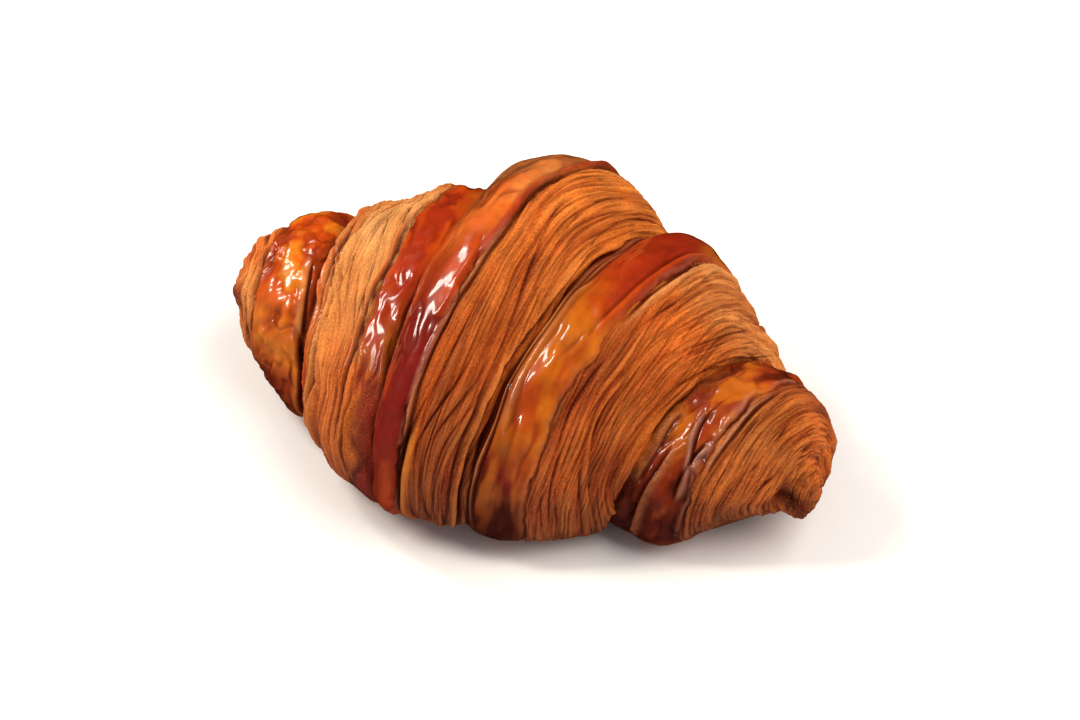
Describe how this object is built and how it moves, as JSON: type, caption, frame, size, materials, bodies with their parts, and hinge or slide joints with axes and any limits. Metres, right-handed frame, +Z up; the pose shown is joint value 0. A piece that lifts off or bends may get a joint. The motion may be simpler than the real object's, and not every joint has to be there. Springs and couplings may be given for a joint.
{
  "type": "croissant",
  "caption": "Baked butter croissant with a rolled, laminated crust, glossy egg-washed bands, tapered tips and a flat base.",
  "frame": {"origin": "centre of the bounding box in plan, at the flat base the croissant rests on", "axes": "+X along the length towards the tip whose rolled end shows, +Y across the body towards the outer side of its slight bow, +Z up"},
  "size_m": [0.148, 0.0972, 0.0648],
  "materials": {
    "crust": null
  },
  "bodies": {
    "root": {"croissant": "crust"}
  },
  "joints": []
}
